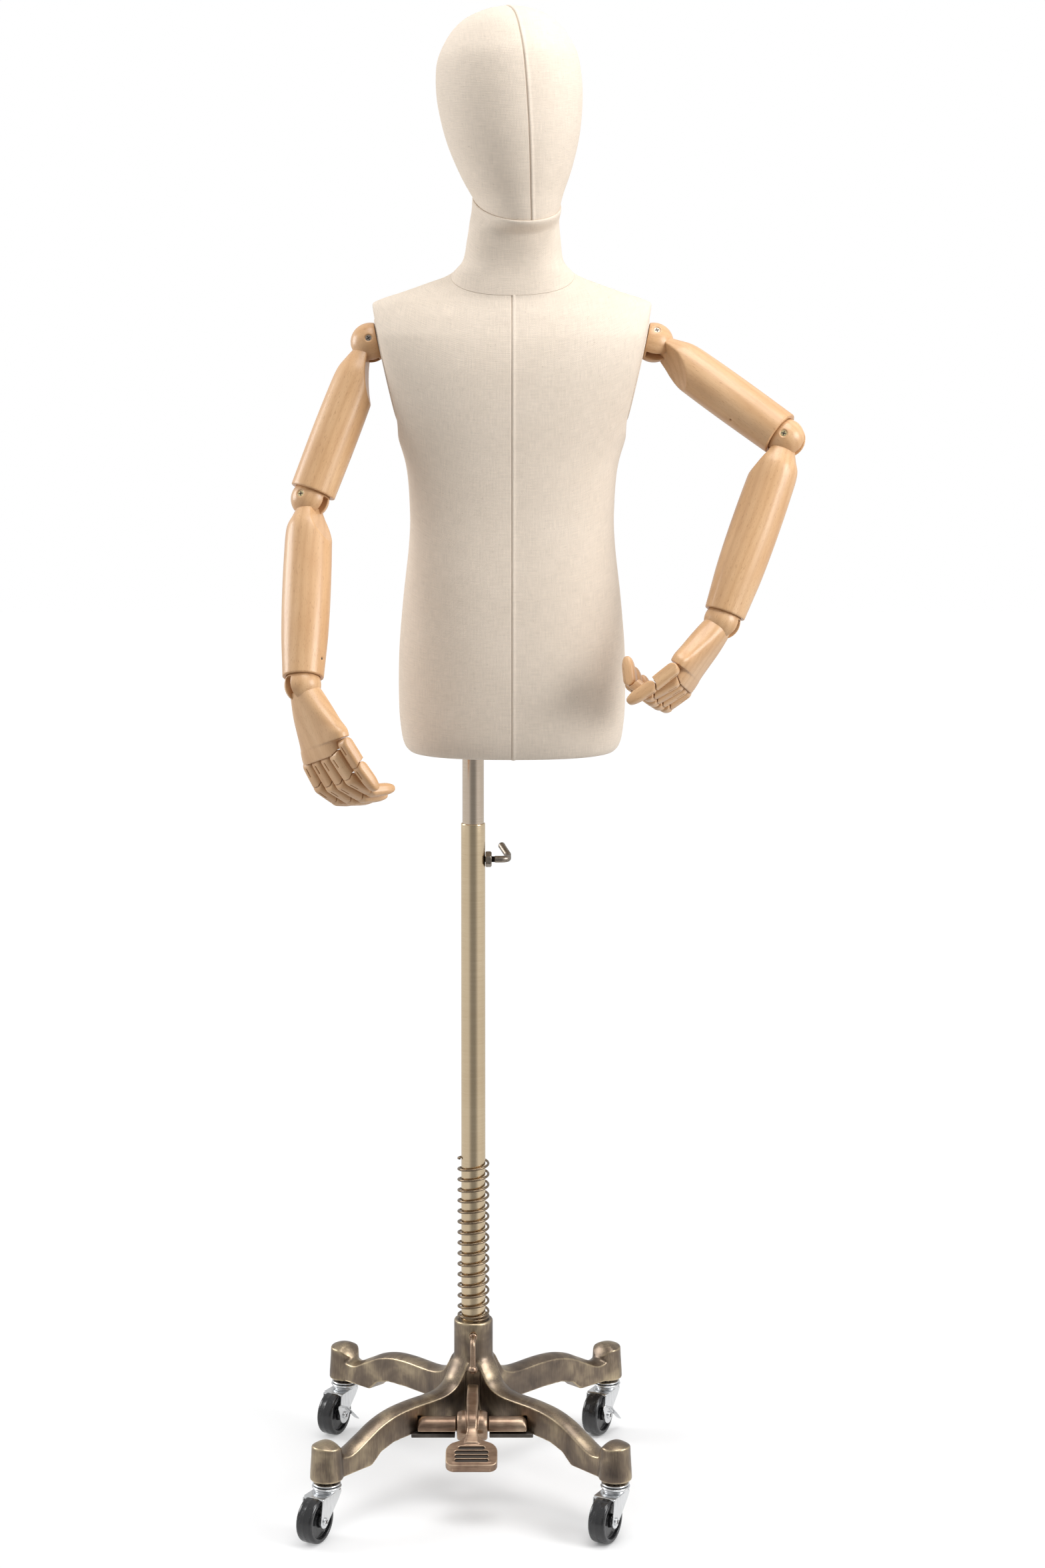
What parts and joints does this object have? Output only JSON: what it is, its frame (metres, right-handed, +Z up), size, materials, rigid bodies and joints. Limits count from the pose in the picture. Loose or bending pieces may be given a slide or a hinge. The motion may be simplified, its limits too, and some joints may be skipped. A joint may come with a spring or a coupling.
{
  "type": "display mannequin",
  "caption": "Life-size faceless linen dress form with jointed wooden arms and fingers, on a height-adjustable pole with a spring, a foot pedal and a wheeled cast base.",
  "frame": {"origin": "on the floor, under the middle of the whole object's bounding box", "axes": "+Z up along the pole; the mannequin faces -Y; +X is the mannequin's left"},
  "size_m": [0.5886, 0.3857, 1.7077],
  "materials": {
    "linen": "natural linen stretched tight over the form, with plain seams",
    "beech": "clear satin lacquer over pale beech",
    "bronze": "antique bronze plating with rubbed gold edges",
    "pedal_bronze": "coppery antique bronze lacquer",
    "pole_brass": "satin champagne brass plating over thin steel tube",
    "spring_brass": "brassy plated spring wire",
    "bright_zinc": "bright zinc plating",
    "black_plastic": "glossy black moulded wheels"
  },
  "bodies": {
    "base": {"base_casting": "bronze", "pedal_crossbar": "pedal_bronze", "lift_spring": "spring_brass", "caster_stem_front_right": "bright_zinc", "caster_stem_front_left": "bright_zinc", "caster_stem_rear_right": "bright_zinc", "caster_stem_rear_left": "bright_zinc"},
    "fork_front_right": {"caster_fork_front_right": "bright_zinc"},
    "wheel_front_right": {"caster_wheel_front_right": "black_plastic"},
    "fork_front_left": {"caster_fork_front_left": "bright_zinc"},
    "wheel_front_left": {"caster_wheel_front_left": "black_plastic"},
    "fork_rear_right": {"caster_fork_rear_right": "bright_zinc"},
    "wheel_rear_right": {"caster_wheel_rear_right": "black_plastic"},
    "brake_rear_right": {"brake_lever_rear_right": "bright_zinc"},
    "fork_rear_left": {"caster_fork_rear_left": "bright_zinc"},
    "wheel_rear_left": {"caster_wheel_rear_left": "black_plastic"},
    "brake_rear_left": {"brake_lever_rear_left": "bright_zinc"},
    "pedal": {"foot_pedal": "pedal_bronze"},
    "hub_screw": {"hub_lock_screw": "pedal_bronze"},
    "outer_pole": {"outer_tube": "pole_brass", "tube_lock_nut": "pole_brass"},
    "tube_screw": {"tube_lock_screw": "pole_brass"},
    "inner_pole": {"inner_tube": "pole_brass"},
    "torso": {"torso": "linen", "neck": "linen", "armhole_plate_right": "linen", "armhole_plate_left": "linen"},
    "head": {"head": "linen"},
    "shoulder_ball_right": {"shoulder_ball_right": "beech"},
    "upper_arm_right": {"upper_arm_right": "beech"},
    "elbow_ball_right": {"elbow_ball_right": "beech"},
    "forearm_right": {"forearm_right": "beech"},
    "wrist_ball_right": {"wrist_ball_right": "beech"},
    "palm_right": {"palm_right": "beech"},
    "index_finger_right_base": {"index_finger_right_base": "beech"},
    "index_finger_right_tip": {"index_finger_right_tip": "beech"},
    "middle_finger_right_base": {"middle_finger_right_base": "beech"},
    "middle_finger_right_tip": {"middle_finger_right_tip": "beech"},
    "ring_finger_right_base": {"ring_finger_right_base": "beech"},
    "ring_finger_right_tip": {"ring_finger_right_tip": "beech"},
    "little_finger_right_base": {"little_finger_right_base": "beech"},
    "little_finger_right_tip": {"little_finger_right_tip": "beech"},
    "thumb_right_base": {"thumb_right_base": "beech"},
    "thumb_right_tip": {"thumb_right_tip": "beech"},
    "shoulder_ball_left": {"shoulder_ball_left": "beech"},
    "upper_arm_left": {"upper_arm_left": "beech"},
    "elbow_ball_left": {"elbow_ball_left": "beech"},
    "forearm_left": {"forearm_left": "beech"},
    "wrist_ball_left": {"wrist_ball_left": "beech"},
    "palm_left": {"palm_left": "beech"},
    "index_finger_left_base": {"index_finger_left_base": "beech"},
    "index_finger_left_tip": {"index_finger_left_tip": "beech"},
    "middle_finger_left_base": {"middle_finger_left_base": "beech"},
    "middle_finger_left_tip": {"middle_finger_left_tip": "beech"},
    "ring_finger_left_base": {"ring_finger_left_base": "beech"},
    "ring_finger_left_tip": {"ring_finger_left_tip": "beech"},
    "little_finger_left_base": {"little_finger_left_base": "beech"},
    "little_finger_left_tip": {"little_finger_left_tip": "beech"},
    "thumb_left_base": {"thumb_left_base": "beech"},
    "thumb_left_tip": {"thumb_left_tip": "beech"}
  },
  "joints": [
    {"name": "swivel_front_right", "type": "hinge", "parent": "base", "child": "fork_front_right", "pos_m": [-0.2415, -0.1455, 0], "axis": [0, 0, 1], "continuous": true},
    {"name": "roll_front_right", "type": "hinge", "parent": "fork_front_right", "child": "wheel_front_right", "pos_m": [-0.25324, -0.16757, 0.025], "axis": [0.8829, -0.4695, 0], "continuous": true},
    {"name": "swivel_front_left", "type": "hinge", "parent": "base", "child": "fork_front_left", "pos_m": [0.0785, -0.1455, 0], "axis": [0, 0, 1], "continuous": true},
    {"name": "roll_front_left", "type": "hinge", "parent": "fork_front_left", "child": "wheel_front_left", "pos_m": [0.06676, -0.16757, 0.025], "axis": [0.8829, -0.4695, 0], "continuous": true},
    {"name": "swivel_rear_right", "type": "hinge", "parent": "base", "child": "fork_rear_right", "pos_m": [-0.2415, 0.1745, 0], "axis": [0, 0, 1], "continuous": true},
    {"name": "roll_rear_right", "type": "hinge", "parent": "fork_rear_right", "child": "wheel_rear_right", "pos_m": [-0.25324, 0.15243, 0.025], "axis": [0.8829, -0.4695, 0], "continuous": true},
    {"name": "brake_rear_right", "type": "hinge", "parent": "fork_rear_right", "child": "brake_rear_right", "pos_m": [-0.25324, 0.15243, 0.025], "axis": [0.8829, -0.4695, 0], "range_deg": [0, 25]},
    {"name": "swivel_rear_left", "type": "hinge", "parent": "base", "child": "fork_rear_left", "pos_m": [0.0785, 0.1745, 0], "axis": [0, 0, 1], "continuous": true},
    {"name": "roll_rear_left", "type": "hinge", "parent": "fork_rear_left", "child": "wheel_rear_left", "pos_m": [0.06676, 0.15243, 0.025], "axis": [0.8829, -0.4695, 0], "continuous": true},
    {"name": "brake_rear_left", "type": "hinge", "parent": "fork_rear_left", "child": "brake_rear_left", "pos_m": [0.06676, 0.15243, 0.025], "axis": [0.8829, -0.4695, 0], "range_deg": [0, 25]},
    {"name": "pedal_press", "type": "hinge", "parent": "base", "child": "pedal", "pos_m": [-0.0815, -0.0655, 0.0912], "axis": [1, 0, 0], "range_deg": [0, 12], "stiffness_Nm_per_rad": 2, "springref_deg": -8.59},
    {"name": "hub_screw_turn", "type": "hinge", "parent": "base", "child": "hub_screw", "pos_m": [-0.0815, -0.012, 0.174], "axis": [0, -1, 0], "range_deg": [-90, 90]},
    {"name": "pole_slide", "type": "slide", "parent": "base", "child": "outer_pole", "axis": [0, 0, 1], "range_m": [-0.11, 0], "deforming": ["lift_spring"]},
    {"name": "tube_screw_turn", "type": "hinge", "parent": "outer_pole", "child": "tube_screw", "pos_m": [-0.0815, 0.0145, 0.725], "axis": [1, 0, 0], "range_deg": [-120, 120]},
    {"name": "inner_slide", "type": "slide", "parent": "outer_pole", "child": "inner_pole", "axis": [0, 0, 1], "range_m": [-0.08, 0.12]},
    {"name": "torso_turn", "type": "hinge", "parent": "inner_pole", "child": "torso", "pos_m": [-0.0815, 0.0145, 0], "axis": [0, 0, 1], "continuous": true},
    {"name": "head_turn", "type": "hinge", "parent": "torso", "child": "head", "pos_m": [-0.0315, 0.0145, 1.483], "axis": [0, -0.3219, 0.9468], "continuous": true},
    {"name": "shoulder_turn_right", "type": "hinge", "parent": "torso", "child": "shoulder_ball_right", "pos_m": [-0.1993, 0.0145, 1.322], "axis": [-0.9759, 0, -0.2181], "range_deg": [-40, 150]},
    {"name": "arm_raise_right", "type": "hinge", "parent": "shoulder_ball_right", "child": "upper_arm_right", "pos_m": [-0.1993, 0.0145, 1.322], "axis": [0.0531, 0.9699, -0.2378], "range_deg": [-14, 70]},
    {"name": "elbow_twist_right", "type": "hinge", "parent": "upper_arm_right", "child": "elbow_ball_right", "pos_m": [-0.26598, -0.02555, 1.14373], "axis": [0.3428, 0.2059, 0.9166], "range_deg": [-90, 90]},
    {"name": "elbow_bend_right", "type": "hinge", "parent": "elbow_ball_right", "child": "forearm_right", "pos_m": [-0.26598, -0.02555, 1.14373], "axis": [-0.4599, -0.814, 0.3549], "range_deg": [-20, 56]},
    {"name": "wrist_twist_right", "type": "hinge", "parent": "forearm_right", "child": "wrist_ball_right", "pos_m": [-0.26819, -0.11262, 0.94116], "axis": [0.01, 0.3949, 0.9187], "range_deg": [-90, 90]},
    {"name": "wrist_bend_right", "type": "hinge", "parent": "wrist_ball_right", "child": "palm_right", "pos_m": [-0.26819, -0.11262, 0.94116], "axis": [0.5883, -0.7513, 0.299], "range_deg": [-40, 32]},
    {"name": "index_knuckle_right", "type": "hinge", "parent": "palm_right", "child": "index_finger_right_base", "pos_m": [-0.227, -0.14715, 0.86563], "axis": [0.5883, -0.7513, 0.299], "range_deg": [-21, 60]},
    {"name": "index_middle_right", "type": "hinge", "parent": "index_finger_right_base", "child": "index_finger_right_tip", "pos_m": [-0.21096, -0.14463, 0.84041], "axis": [0.5883, -0.7513, 0.299], "range_deg": [-31, 57]},
    {"name": "middle_knuckle_right", "type": "hinge", "parent": "palm_right", "child": "middle_finger_right_base", "pos_m": [-0.23782, -0.13333, 0.86013], "axis": [0.5883, -0.7513, 0.299], "range_deg": [-19, 60]},
    {"name": "middle_middle_right", "type": "hinge", "parent": "middle_finger_right_base", "child": "middle_finger_right_tip", "pos_m": [-0.22165, -0.1314, 0.83317], "axis": [0.5883, -0.7513, 0.299], "range_deg": [-31, 57]},
    {"name": "ring_knuckle_right", "type": "hinge", "parent": "palm_right", "child": "ring_finger_right_base", "pos_m": [-0.24865, -0.1195, 0.85463], "axis": [0.5883, -0.7513, 0.299], "range_deg": [-17, 60]},
    {"name": "ring_middle_right", "type": "hinge", "parent": "ring_finger_right_base", "child": "ring_finger_right_tip", "pos_m": [-0.23391, -0.11835, 0.82852], "axis": [0.5883, -0.7513, 0.299], "range_deg": [-31, 57]},
    {"name": "little_knuckle_right", "type": "hinge", "parent": "palm_right", "child": "little_finger_right_base", "pos_m": [-0.25947, -0.10568, 0.84913], "axis": [0.5883, -0.7513, 0.299], "range_deg": [-14, 60]},
    {"name": "little_middle_right", "type": "hinge", "parent": "little_finger_right_base", "child": "little_finger_right_tip", "pos_m": [-0.24741, -0.10558, 0.82564], "axis": [0.5883, -0.7513, 0.299], "range_deg": [-31, 57]},
    {"name": "thumb_root_right", "type": "hinge", "parent": "palm_right", "child": "thumb_right_base", "pos_m": [-0.21736, -0.15829, 0.8809], "axis": [0.5883, -0.7513, 0.299], "range_deg": [-25, 20]},
    {"name": "thumb_middle_right", "type": "hinge", "parent": "thumb_right_base", "child": "thumb_right_tip", "pos_m": [-0.20145, -0.15639, 0.85436], "axis": [0.5883, -0.7513, 0.299], "range_deg": [-10, 60]},
    {"name": "shoulder_turn_left", "type": "hinge", "parent": "torso", "child": "shoulder_ball_left", "pos_m": [0.1263, 0.0145, 1.322], "axis": [-0.9759, 0, 0.2181], "range_deg": [-6, 120]},
    {"name": "arm_raise_left", "type": "hinge", "parent": "shoulder_ball_left", "child": "upper_arm_left", "pos_m": [0.1263, 0.0145, 1.322], "axis": [0.1483, -0.7332, 0.6636], "range_deg": [-8, 35]},
    {"name": "elbow_twist_left", "type": "hinge", "parent": "upper_arm_left", "child": "elbow_ball_left", "pos_m": [0.27259, -0.05398, 1.21365], "axis": [-0.7521, 0.3521, 0.5571], "range_deg": [-90, 60]},
    {"name": "elbow_bend_left", "type": "hinge", "parent": "elbow_ball_left", "child": "forearm_left", "pos_m": [0.27259, -0.05398, 1.21365], "axis": [0.2199, 0.931, -0.2914], "range_deg": [-70, 4]},
    {"name": "wrist_twist_left", "type": "hinge", "parent": "forearm_left", "child": "wrist_ball_left", "pos_m": [0.19779, -0.09965, 1.01131], "axis": [0.3392, 0.2071, 0.9176], "range_deg": [-90, 90]},
    {"name": "wrist_bend_left", "type": "hinge", "parent": "wrist_ball_left", "child": "palm_left", "pos_m": [0.19779, -0.09965, 1.01131], "axis": [0.279, 0.9084, -0.3114], "range_deg": [-40, 40]},
    {"name": "index_knuckle_left", "type": "hinge", "parent": "palm_left", "child": "index_finger_left_base", "pos_m": [0.14113, -0.13473, 0.94686], "axis": [0.279, 0.9084, -0.3114], "range_deg": [-29, 48]},
    {"name": "index_middle_left", "type": "hinge", "parent": "index_finger_left_base", "child": "index_finger_left_tip", "pos_m": [0.1152, -0.13184, 0.93206], "axis": [0.279, 0.9084, -0.3114], "range_deg": [-66, 22]},
    {"name": "middle_knuckle_left", "type": "hinge", "parent": "palm_left", "child": "middle_finger_left_base", "pos_m": [0.14626, -0.11801, 0.94113], "axis": [0.279, 0.9084, -0.3114], "range_deg": [-27, 48]},
    {"name": "middle_middle_left", "type": "hinge", "parent": "middle_finger_left_base", "child": "middle_finger_left_tip", "pos_m": [0.11951, -0.11543, 0.92471], "axis": [0.279, 0.9084, -0.3114], "range_deg": [-66, 22]},
    {"name": "ring_knuckle_left", "type": "hinge", "parent": "palm_left", "child": "ring_finger_left_base", "pos_m": [0.1514, -0.1013, 0.9354], "axis": [0.279, 0.9084, -0.3114], "range_deg": [-25, 48]},
    {"name": "ring_middle_left", "type": "hinge", "parent": "ring_finger_left_base", "child": "ring_finger_left_tip", "pos_m": [0.1264, -0.09927, 0.91894], "axis": [0.279, 0.9084, -0.3114], "range_deg": [-66, 22]},
    {"name": "little_knuckle_left", "type": "hinge", "parent": "palm_left", "child": "little_finger_left_base", "pos_m": [0.15653, -0.08458, 0.92967], "axis": [0.279, 0.9084, -0.3114], "range_deg": [-22, 48]},
    {"name": "little_middle_left", "type": "hinge", "parent": "little_finger_left_base", "child": "little_finger_left_tip", "pos_m": [0.13522, -0.08337, 0.91413], "axis": [0.279, 0.9084, -0.3114], "range_deg": [-66, 22]},
    {"name": "thumb_root_left", "type": "hinge", "parent": "palm_left", "child": "thumb_left_base", "pos_m": [0.1399, -0.14969, 0.96185], "axis": [0.279, 0.9084, -0.3114], "range_deg": [-25, 20]},
    {"name": "thumb_middle_left", "type": "hinge", "parent": "thumb_left_base", "child": "thumb_left_tip", "pos_m": [0.11577, -0.14894, 0.94241], "axis": [0.279, 0.9084, -0.3114], "range_deg": [-10, 60]}
  ]
}
